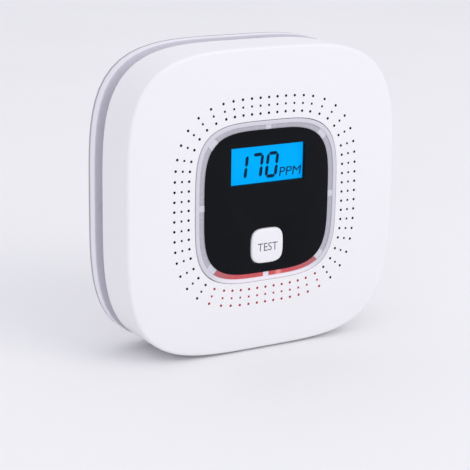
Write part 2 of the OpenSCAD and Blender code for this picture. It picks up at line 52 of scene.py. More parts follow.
class Signal:
    """One output in a material, on which sums are written as plain Python."""

    def __init__(self, finish, socket):
        self.finish = finish
        self.socket = socket

    def sum(self, operation, first, second=0.0):
        return self.finish.node("ShaderNodeMath", {"operation": operation}, {0: first, 1: second})

    def __add__(self, other):
        return self.sum("ADD", self, other)

    def __radd__(self, other):
        return self.sum("ADD", other, self)

    def __sub__(self, other):
        return self.sum("SUBTRACT", self, other)

    def __rsub__(self, other):
        return self.sum("SUBTRACT", other, self)

    def __mul__(self, other):
        return self.sum("MULTIPLY", self, other)

    def __rmul__(self, other):
        return self.sum("MULTIPLY", other, self)

    def __abs__(self):
        return self.sum("ABSOLUTE", self)

    def above(self, low, high):
        """0 under low, 1 over high, and a smooth step between them."""
        return self.finish.node("ShaderNodeMapRange", {"interpolation_type": "SMOOTHSTEP"},
                                {"Value": self, "From Min": low, "From Max": high})

    def below(self, low, high):
        return 1 - self.above(low, high)


class Finish:
    """A material of its own for one kind of surface, with its shader's fixed values."""

    def __init__(self, name, **fixed):
        self.material = bpy.data.materials.new(name)
        self.material.use_nodes = True
        self.tree = self.material.node_tree
        self.shader = self.tree.nodes["Principled BSDF"]
        for socket, value in fixed.items():
            self.shader.inputs[socket.replace("_", " ")].default_value = value
        self.place = self.node("ShaderNodeTexCoord", {}, {}, "Object")

    def node(self, kind, settings, inputs, output=0):
        made = self.tree.nodes.new(kind)
        for key, value in settings.items():
            setattr(made, key, value)
        for key, value in inputs.items():
            if isinstance(value, Signal):
                self.tree.links.new(value.socket, made.inputs[key])
            else:
                made.inputs[key].default_value = value
        return Signal(self, made.outputs[output])

    def noise(self, scale, detail=2.0, rough=0.5):
        """Cloudy variation; scale is in patches to the metre."""
        return self.node("ShaderNodeTexNoise", {},
                         {"Vector": self.place, "Scale": scale, "Detail": detail, "Roughness": rough})

    def axes(self):
        parts = self.node("ShaderNodeSeparateXYZ", {}, {"Vector": self.place})
        outputs = parts.socket.node.outputs
        return [Signal(self, outputs[k]) for k in range(3)]

    def blend(self, amount, first, second):
        """The first colour where amount is 0 and the second where it is 1."""
        mix = self.node("ShaderNodeMix", {"data_type": "RGBA"}, {0: amount}, 2)
        for socket, colour in ((6, first), (7, second)):
            if isinstance(colour, Signal):
                self.tree.links.new(colour.socket, mix.socket.node.inputs[socket])
            else:
                mix.socket.node.inputs[socket].default_value = (*colour, 1)
        return mix

    def drive(self, socket, signal):
        self.tree.links.new(signal.socket, self.shader.inputs[socket])

    def bump(self, height, depth, strength=1.0):
        """Raises the surface by height times depth, in metres."""
        self.drive("Normal", self.node("ShaderNodeBump", {},
                                       {"Height": height, "Distance": depth, "Strength": strength}))


def shade(colour, amount):
    """The same colour, lighter or darker."""
    return tuple(min(1.0, channel * amount) for channel in colour)


def moulded_plastic(name, colour, roughness, grain=2200, depth=0.00001, spread=0.03, **fixed):
    """Injection-moulded plastic: a faint flow pattern in the colour and a fine spark-eroded grain."""
    finish = Finish(name, **fixed)
    flow = finish.noise(28, 3, 0.55)
    finish.drive("Base Color", finish.blend(flow, shade(colour, 1 - spread), shade(colour, 1 + spread)))
    texture = finish.noise(grain, 3, 0.6)
    finish.drive("Roughness", roughness + (texture - 0.5) * 0.12 + (flow - 0.5) * 0.05)
    finish.bump(texture, depth)
    return finish.material


def put_in_scene(bm, name, body, slot, *materials, smooth_under=35):
    """Turns a finished bmesh into a piece that rides on its body."""
    mesh = bpy.data.meshes.new(name)
    bm.to_mesh(mesh)
    bm.free()
    for material in materials:
        mesh.materials.append(material)
    mesh.shade_smooth()
    mesh.set_sharp_from_angle(angle=radians(smooth_under))
    piece = bpy.data.objects.new(name, mesh)
    bpy.context.scene.collection.objects.link(piece)
    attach(piece, body)
    return piece


def merged_copy(node):
    """A copy of a CAD node's surface, with its loose triangles joined into flat faces."""
    bm = bmesh.new()
    bm.from_mesh(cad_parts[node].data)
    bmesh.ops.remove_doubles(bm, verts=bm.verts, dist=1e-6)
    bmesh.ops.dissolve_limit(bm, angle_limit=radians(0.6), verts=bm.verts, edges=bm.edges)
    for face in bm.faces:
        face.material_index = 0
    return bm


def round_edges(bm, wanted, radius, segments=3):
    """Rounds the sharp edges whose two ends both pass the test."""
    edges = [e for e in bm.edges if e.is_manifold and e.calc_face_angle(0) > radians(30)
             and all(wanted(v.co) for v in e.verts)]
    bmesh.ops.bevel(bm, geom=edges, offset=radius, segments=segments, profile=0.5, affect="EDGES",
                    clamp_overlap=True, material=-1)


def break_edges(piece, width, segments=2):
    """The small radius that every moulded or stamped edge has."""
    bevel = piece.modifiers.new("edge radius", "BEVEL")
    bevel.width = width
    bevel.segments = segments
    bevel.limit_method = "ANGLE"
    bevel.angle_limit = radians(40)
    bevel.use_clamp_overlap = True
    bevel.harden_normals = True


plate_low, plate_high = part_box("mounting_plate")
PLATE_HALF = plate_high.x
# Depth of the band at the back of the rim that is painted darker, for the shade next to the wall.
SHADE_BAND = 1.6 * MM
CORNER_POWER = 3.9


def squareness(x, z):
    """Half width of the rounded square that passes through a point."""
    return (abs(x) ** CORNER_POWER + abs(z) ** CORNER_POWER) ** (1 / CORNER_POWER)


plate_white = moulded_plastic("plate_plastic", (0.80, 0.79, 0.85), 0.42)
# Painted shade: a darker grey on the plate's front faces, where the groove lies in shadow.
plate_land_painted_shade = moulded_plastic("plate_land_painted_shade", (0.62, 0.605, 0.67), 0.6, grain=3200, depth=0.00002)
# Painted shade: a dark grey band along the back of the rim, next to the wall.
plate_back_painted_shade = moulded_plastic("plate_back_painted_shade", (0.38, 0.375, 0.40), 0.6, grain=3200, depth=0.00002)

bm = merged_copy("mounting_plate")
on_rim = lambda co: squareness(co.x, co.z) > PLATE_HALF - 0.2 * MM
round_edges(bm, lambda co: on_rim(co) and co.y < plate_low.y + 0.1 * MM, 0.7 * MM, 4)
round_edges(bm, lambda co: on_rim(co) and co.y > plate_high.y - 0.1 * MM, 0.5 * MM, 3)
bmesh.ops.bisect_plane(bm, geom=bm.verts[:] + bm.edges[:] + bm.faces[:], dist=1e-6,
                       plane_co=(0, plate_high.y - SHADE_BAND, 0), plane_no=(0, 1, 0))
for face in bm.faces:
    middle = face.calc_center_median()
    # Painted shade: the front faces are darker, for the shade in the groove.
    if face.normal.y < -0.8:
        face.material_index = 1
    # Painted shade: the back band of the rim is darker, next to the wall.
    elif middle.y > plate_high.y - SHADE_BAND and squareness(middle.x, middle.z) > PLATE_HALF - 1 * MM:
        face.material_index = 2
wall_plate = put_in_scene(bm, "wall_plate", "wall_plate", "mounting_plate",
                          plate_white, plate_land_painted_shade, plate_back_painted_shade)
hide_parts("mounting_plate")

# ---- Rear housing ----
# The tub behind the cover, moulded in matt grey plastic. It stands in from the cover and so makes
# the dark groove. Its round boss has four bayonet lugs and holds the battery bay.



def housing_plastic():
    """Matt plastic that looks paler near the top, where more light falls into the groove."""
    finish = Finish("housing_plastic")
    x, y, z = finish.axes()
    flow = finish.noise(28, 3, 0.55)
    shaded = finish.blend(flow, (0.58, 0.57, 0.64), (0.62, 0.61, 0.68))
    # Painted light: the grey turns paler towards the top, where more light falls into the groove.
    painted_top_light = z.above(30 * MM, 54 * MM)
    finish.drive("Base Color", finish.blend(painted_top_light, shaded, (0.84, 0.83, 0.88)))
    texture = finish.noise(3200, 3, 0.6)
    finish.drive("Roughness", 0.55 + (texture - 0.5) * 0.12)
    finish.bump(texture, 0.00002)
    return finish.material


housing_grey = housing_plastic()

bm = merged_copy("rear_housing")
housing = put_in_scene(bm, "housing", "detector", "rear_housing", housing_grey)
break_edges(housing, 0.15 * MM)
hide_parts("rear_housing")

# ---- Case screws ----
# Four zinc-plated pan-head screws, sunk in the housing's back, which draw it onto the cover.


def plated_steel(name, colour, roughness):
    """Plated steel: a bright metal with fine turning marks and a cloudy passivation."""
    finish = Finish(name, Metallic=1.0)
    cloud = finish.noise(700, 3)
    finish.drive("Base Color", finish.blend(cloud, shade(colour, 0.85), shade(colour, 1.1)))
    marks = finish.noise(9000, 2)
    finish.drive("Roughness", roughness + (marks - 0.5) * 0.2 + (cloud - 0.5) * 0.1)
    finish.bump(marks, 0.000004)
    return finish.material


zinc = plated_steel("zinc_plate", (0.62, 0.62, 0.64), 0.32)
for node in ("case_screws", "board_screws"):
    bm = merged_copy(node)
    screws = put_in_scene(bm, node.replace("_", "-"), "detector", "screws", zinc)
    break_edges(screws, 0.12 * MM)
    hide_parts(node)

# ---- Dry cells ----
# Two AA cells side by side in the bay, nub to the left in one and to the right in the other. Each is
# a steel can in a printed sleeve whose rolled ends leave bare metal round the nub.

cell_steel = plated_steel("cell_steel", (0.7, 0.7, 0.7), 0.25)


def cell_sleeve():
    """Glossy shrink sleeve in dark blue with a copper band at the nub end."""
    finish = Finish("cell_sleeve", Coat_Weight=0.3, Coat_Roughness=0.1)
    x, y, z = finish.axes()
    upper = z.above(-0.5 * MM, 0.5 * MM)
    along = x * (1 - 2 * upper)
    band = along.above(9.5 * MM, 9.7 * MM)
    wear = finish.noise(500, 4)
    body = finish.blend(wear, (0.012, 0.022, 0.06), (0.02, 0.034, 0.085))
    copper = finish.blend(wear, (0.42, 0.2, 0.09), (0.5, 0.26, 0.12))
    finish.drive("Base Color", finish.blend(band, body, copper))
    finish.drive("Roughness", 0.3 + wear * 0.15)
    finish.bump(wear, 0.000008)
    return finish.material


sleeve = cell_sleeve()


def turned(profile, centre, axis_turn, steps=48):
    """Spins a profile of (distance along, radius) pairs, in millimetres, about an axis along X."""
    bm = bmesh.new()
    verts = [bm.verts.new((along * MM, radius * MM, 0)) for along, radius in profile]
    edges = [bm.edges.new(pair) for pair in zip(verts, verts[1:])]
    bmesh.ops.spin(bm, geom=verts + edges, cent=(0, 0, 0), axis=(1, 0, 0), angle=2 * pi,
                   steps=steps, use_merge=True)
    bmesh.ops.remove_doubles(bm, verts=bm.verts, dist=1e-7)
    bmesh.ops.recalc_face_normals(bm, faces=bm.faces)
    bmesh.ops.transform(bm, matrix=Matrix.Translation(centre) @ axis_turn, verts=bm.verts)
    return bm


for node, toward in (("battery_upper", -1), ("battery_lower", 1)):
    low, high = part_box(node)
    half = (high.x - low.x) / 2 / MM
    radius = (high.z - low.z) / 2 / MM
    nub = 1.0
    shoulder = half - nub
    profile = [(-half, 0), (-half, radius - 1.2), (-half + 0.15, radius - 0.7), (-half, radius - 0.5),
               (-half + 0.3, radius - 0.1), (-half + 0.7, radius), (shoulder - 0.8, radius),
               (shoulder - 0.2, radius - 0.25), (shoulder, radius - 0.8), (shoulder - 0.3, radius - 1.4),
               (shoulder - 0.3, 2.9), (shoulder, 2.75), (half - 0.25, 2.7), (half, 2.4), (half, 0)]
    turn = Matrix.Rotation(0 if toward > 0 else pi, 4, "Y")
    middle = (low + high) / 2
    bm = turned(profile, middle, turn)
    for face in bm.faces:
        from_axis = (face.calc_center_median() - middle) * Vector((0, 1, 1))
        face.material_index = 1 if from_axis.length < (radius - 0.9) * MM else 0
    cell = put_in_scene(bm, node.replace("_", "-"), "detector", "battery",
                        sleeve, cell_steel, smooth_under=50)
    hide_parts(node)

# ---- Springs, contacts and wires of the bay ----
# Nickel-plated cone springs press on the cells' flat ends. The contacts are stamped strips whose tabs
# pass through the bay's wall, and two insulated wires take them to the board.

nickel = plated_steel("nickel_plate", (0.72, 0.7, 0.66), 0.22)

bm = merged_copy("battery_contacts")
contacts = put_in_scene(bm, "contact-strips", "detector", "battery_contacts", nickel)
break_edges(contacts, 0.08 * MM)
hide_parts("battery_contacts")

COIL_RADIUS = 5 * MM
COIL_LENGTH = 4.2 * MM
COIL_TURNS = 3.5
WIRE_RADIUS = 0.35 * MM
spring_low, spring_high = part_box("battery_springs")

bm = bmesh.new()
for side, node in ((1, "battery_upper"), (-1, "battery_lower")):
    low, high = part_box(node)
    axis_y = (low.y + high.y) / 2
    axis_z = (low.z + high.z) / 2
    wide_x = spring_high.x if side > 0 else spring_low.x
    section_place = Matrix.Translation((0, COIL_RADIUS, 0)) @ Matrix.Rotation(pi / 2, 4, "Y")
    ring = bmesh.ops.create_circle(bm, cap_ends=True, segments=12, radius=WIRE_RADIUS, matrix=section_place)
    start = set(ring["verts"])
    face = [f for f in bm.faces if set(f.verts) == start][0]
    before = set(bm.verts) - start
    steps = int(COIL_TURNS * 36)
    bmesh.ops.spin(bm, geom=[face], cent=(0, 0, 0), axis=(1, 0, 0), dvec=(-side * COIL_LENGTH / steps, 0, 0),
                   angle=2 * pi * COIL_TURNS, steps=steps, use_duplicate=False)
    coil = [v for v in bm.verts if v not in before]
    wide = max(v.co.x * side for v in coil)
    narrow = min(v.co.x * side for v in coil)
    for v in coil:
        share = (wide - v.co.x * side) / (wide - narrow)
        v.co.y *= 1 - 0.5 * share
        v.co.z *= 1 - 0.5 * share
    shift = wide_x - side * wide
    bmesh.ops.translate(bm, verts=coil, vec=(shift, axis_y, axis_z))
bmesh.ops.recalc_face_normals(bm, faces=bm.faces)
springs = put_in_scene(bm, "cell-springs", "detector", "battery_springs", nickel, smooth_under=60)
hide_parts("battery_springs")


def insulated_wire(name, colour):
    """PVC insulation with a soft sheen."""
    finish = Finish(name, Coat_Weight=0.15)
    skin = finish.noise(3000, 2)
    finish.drive("Base Color", finish.blend(skin, shade(colour, 0.8), shade(colour, 1.2)))
    finish.drive("Roughness", 0.4 + skin * 0.15)
    finish.bump(skin, 0.000005)
    return finish.material


def carry_over(node, material):
    """Leaves a CAD node as it is and gives it its finish."""
    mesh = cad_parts[node].data
    mesh.materials.clear()
    mesh.materials.append(material)


carry_over("red_wire", insulated_wire("red_insulation", (0.5, 0.02, 0.02)))
carry_over("black_wire", insulated_wire("black_insulation", (0.02, 0.02, 0.02)))

# ---- Battery door ----
# The door in the boss, in the housing's plastic. It turns on two stub pins at its lower edge and is
# held by a tongue between two slits. A strip of foam inside keeps the cells from rattling.

bm = merged_copy("battery_door")
door = put_in_scene(bm, "cell-door", "battery_door", "battery_door", housing_grey)
break_edges(door, 0.2 * MM)
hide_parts("battery_door")


def foam_rubber():
    """Closed-cell foam: small dark pits between paler walls."""
    finish = Finish("foam_rubber")
    pits = finish.node("ShaderNodeTexVoronoi", {}, {"Vector": finish.place, "Scale": 2600.0})
    finish.drive("Base Color", finish.blend(pits, (0.012, 0.012, 0.014), (0.05, 0.05, 0.055)))
    finish.drive("Roughness", 0.8 + pits * 0.15)
    finish.bump(pits, 0.00008)
    return finish.material


bm = merged_copy("door_pad")
pad = put_in_scene(bm, "foam-strip", "battery_door", "door_pad", foam_rubber())
break_edges(pad, 0.25 * MM, 3)
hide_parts("door_pad")

# ---- Rating label ----
# A blank pale paper label on the boss, above the door, with rounded corners.


def label_paper():
    """Coated label paper with a faint fibre."""
    finish = Finish("label_paper", Coat_Weight=0.1)
    fibre = finish.noise(2400, 5, 0.7)
    finish.drive("Base Color", finish.blend(fibre, (0.72, 0.72, 0.7), (0.82, 0.82, 0.8)))
    finish.drive("Roughness", 0.45 + fibre * 0.2)
    finish.bump(fibre, 0.000006)
    return finish.material


bm = merged_copy("rating_label")
corner_edges = [e for e in bm.edges if abs(e.verts[0].co.y - e.verts[1].co.y) > 0.1 * MM]
bmesh.ops.bevel(bm, geom=corner_edges, offset=1.2 * MM, segments=6, profile=0.5, affect="EDGES",
                material=-1)
label = put_in_scene(bm, "blank-label", "detector", "rating_label", label_paper())
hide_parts("rating_label")

# ---- Circuit board and its parts ----
# A green glass-fibre board behind the panel, with the sensor, the sounder and the supply parts on its
# back and the lights, the display and the switch on its front. It is closed in by the case.


def board_finish():
    """Solder mask over copper: tracks show as slightly paler, raised lines."""
    finish = Finish("solder_mask", Coat_Weight=0.4, Coat_Roughness=0.15)
    lines = {"Vector": finish.place, "Scale": 220.0, "Mortar Size": 0.018, "Mortar Smooth": 0.2}
    tracks = finish.node("ShaderNodeTexBrick", {"offset": 0.5}, lines, 1)
    weave = finish.noise(1500, 2)
    mask = finish.blend(weave, (0.01, 0.12, 0.05), (0.015, 0.16, 0.07))
    finish.drive("Base Color", finish.blend(tracks, mask, (0.03, 0.26, 0.1)))
    finish.drive("Roughness", 0.35 + weave * 0.1)
    finish.bump(tracks, 0.00002)
    return finish.material


def brass_disc():
    """Rolled brass with a fine straight grain."""
    finish = Finish("rolled_brass", Metallic=1.0)
    x, y, z = finish.axes()
    grain = finish.node("ShaderNodeTexNoise", {"noise_dimensions": "1D"}, {"W": x * 9000, "Detail": 2.0})
    finish.drive("Base Color", finish.blend(grain, (0.6, 0.42, 0.14), (0.75, 0.55, 0.22)))
    finish.drive("Roughness", 0.25 + grain * 0.15)
    finish.bump(grain, 0.000003)
    return finish.material


def lit_chip(name, colour, glow, strength):
    """A light emitting diode: a tinted epoxy dome that glows."""
    finish = Finish(name, Emission_Strength=strength)
    cloud = finish.noise(1800, 2)
    finish.drive("Base Color", finish.blend(cloud, shade(colour, 0.85), colour))
    finish.drive("Emission Color", finish.blend(cloud, shade(glow, 0.8), glow))
    finish.drive("Roughness", 0.2 + cloud * 0.1)
    return finish.material


black_epoxy = moulded_plastic("black_epoxy", (0.02, 0.02, 0.022), 0.5, grain=4200, spread=0.15)
white_nylon = moulded_plastic("white_nylon", (0.8, 0.8, 0.79), 0.45)
can_steel = plated_steel("can_steel", (0.6, 0.6, 0.61), 0.3)
can_sleeve = moulded_plastic("can_sleeve", (0.03, 0.035, 0.09), 0.3, grain=900)
ferrite = moulded_plastic("ferrite", (0.05, 0.048, 0.045), 0.7, grain=2600, depth=0.00003, spread=0.1)
silicone = moulded_plastic("layered_silicone", (0.5, 0.2, 0.3), 0.6, grain=3000, spread=0.12)
clear_guide = moulded_plastic("light_guide", (0.75, 0.85, 0.95), 0.2, grain=1500)

board_parts = {
    "circuit_board": board_finish(),
    "sensor_can": can_steel,
    "sensor_cap": white_nylon,
    "buzzer_housing": black_epoxy,
    "piezo_disc": brass_disc(),
    "microcontroller": black_epoxy,
    "small_chips": black_epoxy,
    "capacitors": can_sleeve,
    "inductor": ferrite,
    "switch_base": black_epoxy,
    "lcd_backlight": clear_guide,
    "lcd_holder": white_nylon,
    "lcd_connectors": silicone,
    "light_tray": white_nylon,
    "red_leds": lit_chip("red_diode", (0.7, 0.03, 0.03), (1.0, 0.05, 0.05), 2.0),
    "green_leds": lit_chip("green_diode", (0.05, 0.4, 0.08), (0.05, 0.5, 0.08), 0.0),
    "amber_leds": lit_chip("amber_diode", (0.7, 0.28, 0.02), (0.7, 0.3, 0.02), 0.0),
}
for node, material in board_parts.items():
    carry_over(node, material)

# ---- Vent screen ----
# A fine black woven screen stuck behind the holes against dust. Along the lower side a red glow is
# painted on it, for the red lights that shine through it.

# The red glow that is painted on surfaces near the red lights.
PAINTED_RED_GLOW = (0.72, 0.06, 0.08)


def woven_screen():
    """Fine plain weave in black polyester, with a painted red glow near the bottom for the light from behind.
    """
    finish = Finish("woven_screen", Emission_Strength=0.55)
    x, y, z = finish.axes()
    over = finish.node("ShaderNodeMath", {"operation": "SINE"}, {0: x * 22000})
    under = finish.node("ShaderNodeMath", {"operation": "SINE"}, {0: z * 22000})
    weave = over * under * 0.5 + 0.5
    finish.drive("Base Color", finish.blend(weave, (0.008, 0.008, 0.01), (0.03, 0.03, 0.034)))
    # Painted glow: red light along the lower side of the screen.
    painted_glow_mask = z.below(-31 * MM, -29 * MM) * abs(x).below(24 * MM, 30 * MM)
    finish.drive("Emission Color", finish.blend(painted_glow_mask, (0, 0, 0), PAINTED_RED_GLOW))
    finish.drive("Roughness", 0.7 + weave * 0.2)
    finish.bump(weave, 0.00003)
    return finish.material


carry_over("vent_screen", woven_screen())

# ---- Front cover ----
# The square shell with rounded corners, in smooth white plastic. Its face falls back a little towards
# its rounded edge, and three rings of 60 holes stand round the light ring.

cover_low, cover_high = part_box("front_cover")
screen_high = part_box("vent_screen")[1]
COVER_HALF = cover_high.x
COVER_WALL = 2.2 * MM
COVER_IN = COVER_HALF - COVER_WALL
FACE_Y = cover_low.y
FACE_THICK = 2.0 * MM
EDGE_RADIUS = 1.2 * MM
CROWN = 0.9 * MM
OPENING_HALF = 30.62 * MM
HOLE_RADIUS = 0.56 * MM
RING_GAP = 2.9 * MM
VENT_HALF = screen_high.x - 2 * RING_GAP - 1.2 * MM
VENT_PITCH = 3.6 * MM
VENT_POWER = 3.7
SIDE_COLUMNS = 5
CORNER_COLUMNS = 4


def reach(angle, power):
    """Distance to a unit rounded square in a direction."""
    return (abs(cos(angle)) ** power + abs(sin(angle)) ** power) ** (-1 / power)


def square_loop(half, y, power=CORNER_POWER, count=192, tall=None, centre=(0, 0)):
    """Points of a rounded square in the plane y; tall is its half height where that differs."""
    tall = tall or half
    angles = [2 * pi * k / count for k in range(count)]
    return [Vector((centre[0] + half * reach(a, power) * cos(a), y,
                    centre[1] + tall * reach(a, power) * sin(a))) for a in angles]


def add_loop(bm, points):
    """A closed loop of edges through the points."""
    verts = [bm.verts.new(p) for p in points]
    for k in range(len(verts)):
        bm.edges.new((verts[k - 1], verts[k]))
    return verts


def skin(bm, start, *loops):
    """Extrudes a loop of vertices through loops of points, and returns all the loops of vertices."""
    rows = [start]
    for points in loops:
        last = rows[-1]
        edges = [bm.edges.get((last[k - 1], last[k])) for k in range(len(last))]
        made = bmesh.ops.extrude_edge_only(bm, edges=edges)["geom"]
        fresh = {v for v in made if isinstance(v, bmesh.types.BMVert)}
        rows.append([next(e.other_vert(v) for e in v.link_edges if e.other_vert(v) in fresh)
                     for v in last])
        for v, point in zip(rows[-1], points):
            v.co = point
    return rows


def closed_skin(bm, loops):
    """A tube of faces through loops of points that ends where it starts."""
    start = add_loop(bm, loops[0])
    rows = skin(bm, start, *loops[1:], loops[0])
    bmesh.ops.remove_doubles(bm, verts=rows[0] + rows[-1], dist=1e-6)
    bmesh.ops.recalc_face_normals(bm, faces=bm.faces)


def crown(x, z):
    """Height of the face's gentle crown, as a place along Y."""
    return FACE_Y + CROWN * (squareness(x, z) / COVER_HALF) ** 4


def column_directions():
    """Directions of the 60 columns of holes, anticlockwise from the upper right corner."""
    def side_direction(k):
        x = k * VENT_PITCH
        return atan2(VENT_HALF * (1 - (abs(x) / VENT_HALF) ** VENT_POWER) ** (1 / VENT_POWER), x)
    last = side_direction(SIDE_COLUMNS)
    step = 2 * (last - pi / 4) / (CORNER_COLUMNS + 1)
    quarter = [last - k * step for k in range(CORNER_COLUMNS, 0, -1)]
    quarter += [side_direction(k) for k in range(SIDE_COLUMNS, -SIDE_COLUMNS - 1, -1)]
    return [a + turn * pi / 2 for turn in range(4) for a in quarter]


def vent_point(angle, out):
    """A point at distance out beyond the innermost ring of holes, square to that ring."""
    c, s = cos(angle), sin(angle)
    power = VENT_POWER - 1
    normal = Vector((copysign(abs(c) ** power, c), 0, copysign(abs(s) ** power, s)))
    return VENT_HALF * reach(angle, VENT_POWER) * Vector((c, 0, s)) + out * normal.normalized()


def white_shell():
    """Smooth polished white plastic with the faintest flow and dust."""
    finish = Finish("cover_plastic", Coat_Weight=0.12, Coat_Roughness=0.18)
    flow = finish.noise(14, 3, 0.5)
    finish.drive("Base Color", finish.blend(flow, (0.82, 0.815, 0.84), (0.85, 0.845, 0.87)))
    grain = finish.noise(2600, 3, 0.6)
    specks = finish.noise(420, 5, 0.75).above(0.72, 0.8)
    finish.drive("Roughness", 0.33 + (grain - 0.5) * 0.08 + specks * 0.1)
    finish.bump(grain, 0.000006)
    return finish.material


def bore_painted_shade_and_glow():
    """The bores' walls are painted dark for the shade in them, and the lower ones carry a painted red glow.
    """
    finish = Finish("bore_painted_shade_and_glow", Emission_Strength=0.5)
    x, y, z = finish.axes()
    soft = finish.noise(3000, 2)
    # Painted shade: the bore walls are dark.
    finish.drive("Base Color", finish.blend(soft, (0.03, 0.03, 0.035), (0.05, 0.05, 0.055)))
    # Painted glow: red on the walls of the lower bores.
    painted_glow_mask = z.below(-27.5 * MM, -26.5 * MM) * abs(x).below(24.5 * MM, 25.5 * MM)
    finish.drive("Emission Color", finish.blend(painted_glow_mask, (0, 0, 0), PAINTED_RED_GLOW))
    finish.drive("Roughness", 0.5 + soft * 0.2)
    return finish.material


columns = column_directions()
before = [columns[-1] - 2 * pi] + columns[:-1]
borders = [(a + b) / 2 for a, b in zip(before, columns)]
borders.append(borders[0] + 2 * pi)
fine = [a + (b - a) * third / 3 for a, b in zip(borders, borders[1:]) for third in range(3)]


def square_at(half, y, bearings):
    """Points of the cover's outline, one in each direction."""
    return [half * reach(a, CORNER_POWER) * Vector((cos(a), 0, sin(a))) + Vector((0, y, 0)) for a in bearings]


def bearing(v):
    return atan2(v.co.z, v.co.x)


bm = bmesh.new()
field = [[vent_point(a, RING_GAP * (step / 3 - 0.5)) for a in fine] for step in range(10)]
bearings = [atan2(point.z, point.x) for point in field[-1]]
field += [square_at(half, 0, bearings) for half in (COVER_HALF - 12 * MM, COVER_HALF - 7 * MM, COVER_IN)]
rows = skin(bm, add_loop(bm, square_at(OPENING_HALF, 0, fine)), *field)

bores = []
for ring in range(3):
    for k, angle in enumerate(columns):
        patch = []
        for r in range(1 + 3 * ring, 4 + 3 * ring):
            for j in range(3 * k, 3 * k + 3):
                j2 = (j + 1) % len(fine)
                patch.append(bm.faces.get([rows[r][j], rows[r][j2], rows[r + 1][j2], rows[r + 1][j]]))
        merged = bmesh.ops.dissolve_faces(bm, faces=patch, use_verts=True)["region"]
        bores.append((merged[0], vent_point(angle, ring * RING_GAP)))
bmesh.ops.inset_individual(bm, faces=[face for face, centre in bores], thickness=0.35 * MM,
                           use_even_offset=True)
for face, centre in bores:
    around = sorted(face.verts, key=lambda v: atan2(v.co.z - centre.z, v.co.x - centre.x))
    for k, v in enumerate(around):
        angle = -pi + 2 * pi * (k + 0.5) / len(around)
        v.co = centre + HOLE_RADIUS * Vector((cos(angle), 0, sin(angle)))
bmesh.ops.delete(bm, geom=[face for face, centre in bores], context="FACES_ONLY")
for v in bm.verts:
    v.co.y = crown(v.co.x, v.co.z)
bmesh.ops.recalc_face_normals(bm, faces=bm.faces)
if sum(f.normal.y for f in bm.faces) > 0:
    bmesh.ops.reverse_faces(bm, faces=bm.faces)
bmesh.ops.solidify(bm, geom=bm.faces[:], thickness=FACE_THICK)
outer_rim = [f for f in bm.faces if abs(f.normal.y) < 0.5
             and all(squareness(v.co.x, v.co.z) > COVER_IN - 0.3 * MM for v in f.verts)]
bmesh.ops.delete(bm, geom=outer_rim, context="FACES_ONLY")
rim = {v for e in bm.edges if e.is_boundary for v in e.verts}
middle_y = FACE_Y + FACE_THICK / 2 + CROWN
front_rim = sorted((v for v in rim if v.co.y < middle_y), key=bearing)
back_rim = sorted((v for v in rim if v.co.y > middle_y), key=bearing)
bearings = [bearing(v) for v in front_rim]
edge_y = crown(COVER_HALF, 0)
quarter_steps = [pi / 2 * k / 6 for k in range(7)]
sections = [(COVER_HALF - EDGE_RADIUS * (1 - sin(t)), edge_y + EDGE_RADIUS * (1 - cos(t)))
            for t in quarter_steps]
sections += [(COVER_HALF, cover_high.y - 0.3 * MM), (COVER_HALF - 0.3 * MM, cover_high.y),
             (COVER_IN + 0.2 * MM, cover_high.y), (COVER_IN, cover_high.y - 0.2 * MM)]
loops = [square_at(half, y, bearings) for half, y in sections]
sides = skin(bm, front_rim, *loops, [v.co.copy() for v in back_rim])
bmesh.ops.remove_doubles(bm, verts=sides[-1] + back_rim, dist=1e-6)
bmesh.ops.recalc_face_normals(bm, faces=bm.faces)
# The bores' walls take the painted shade and red glow; the rest is the white shell.
for face in bm.faces:
    middle = face.calc_center_median()
    in_field = OPENING_HALF + 0.5 * MM < squareness(middle.x, middle.z) < VENT_HALF + 3 * RING_GAP
    face.material_index = 1 if in_field and abs(face.normal.y) < 0.5 else 0
cover = put_in_scene(bm, "cover", "detector", "front_cover", white_shell(), bore_painted_shade_and_glow(), smooth_under=40)
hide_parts("front_cover")

# ---- Light ring ----
# A clear ring between the cover and the panel. Its outer lip stands up, its inner band lies lower and
# is cut by eight ribs, and a red glow is painted on the two lower stretches of that band, for the red
# lights behind it.

ring_low, ring_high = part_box("light_ring")
panel_low, panel_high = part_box("lens_panel")
RING_OUT = 30.38 * MM
RING_STEP = RING_OUT - 1.5 * MM
PANEL_HALF = panel_high.x + 0.3 * MM
PANEL_TALL = panel_high.x + 0.8 * MM
RING_IN = panel_high.x
RING_FRONT = ring_low.y
BAND_Y = FACE_Y + 0.35 * MM
RIB_WIDTH = 2.4 * MM
DIAGONAL_RIB_WIDTH = 3.8 * MM


def clear_ring():
    """Frosted clear plastic with a faint painted red glow at the bottom."""
    finish = Finish("clear_ring", Coat_Weight=0.4, Coat_Roughness=0.08, Emission_Strength=0.25)
    x, y, z = finish.axes()
    haze = finish.noise(900, 3)
    finish.drive("Base Color", finish.blend(haze, (0.59, 0.585, 0.65), (0.65, 0.645, 0.71)))
    # Painted glow: a faint red light on the bottom of the ring.
    painted_red_light_mask = z.below(-31 * MM, -24 * MM) * abs(x).below(18 * MM, 30 * MM)
    finish.drive("Emission Color", finish.blend(painted_red_light_mask, (0, 0, 0), (0.95, 0.8, 0.84)))
    finish.drive("Roughness", 0.18 + haze * 0.1)
    finish.bump(haze, 0.000008)
    return finish.material


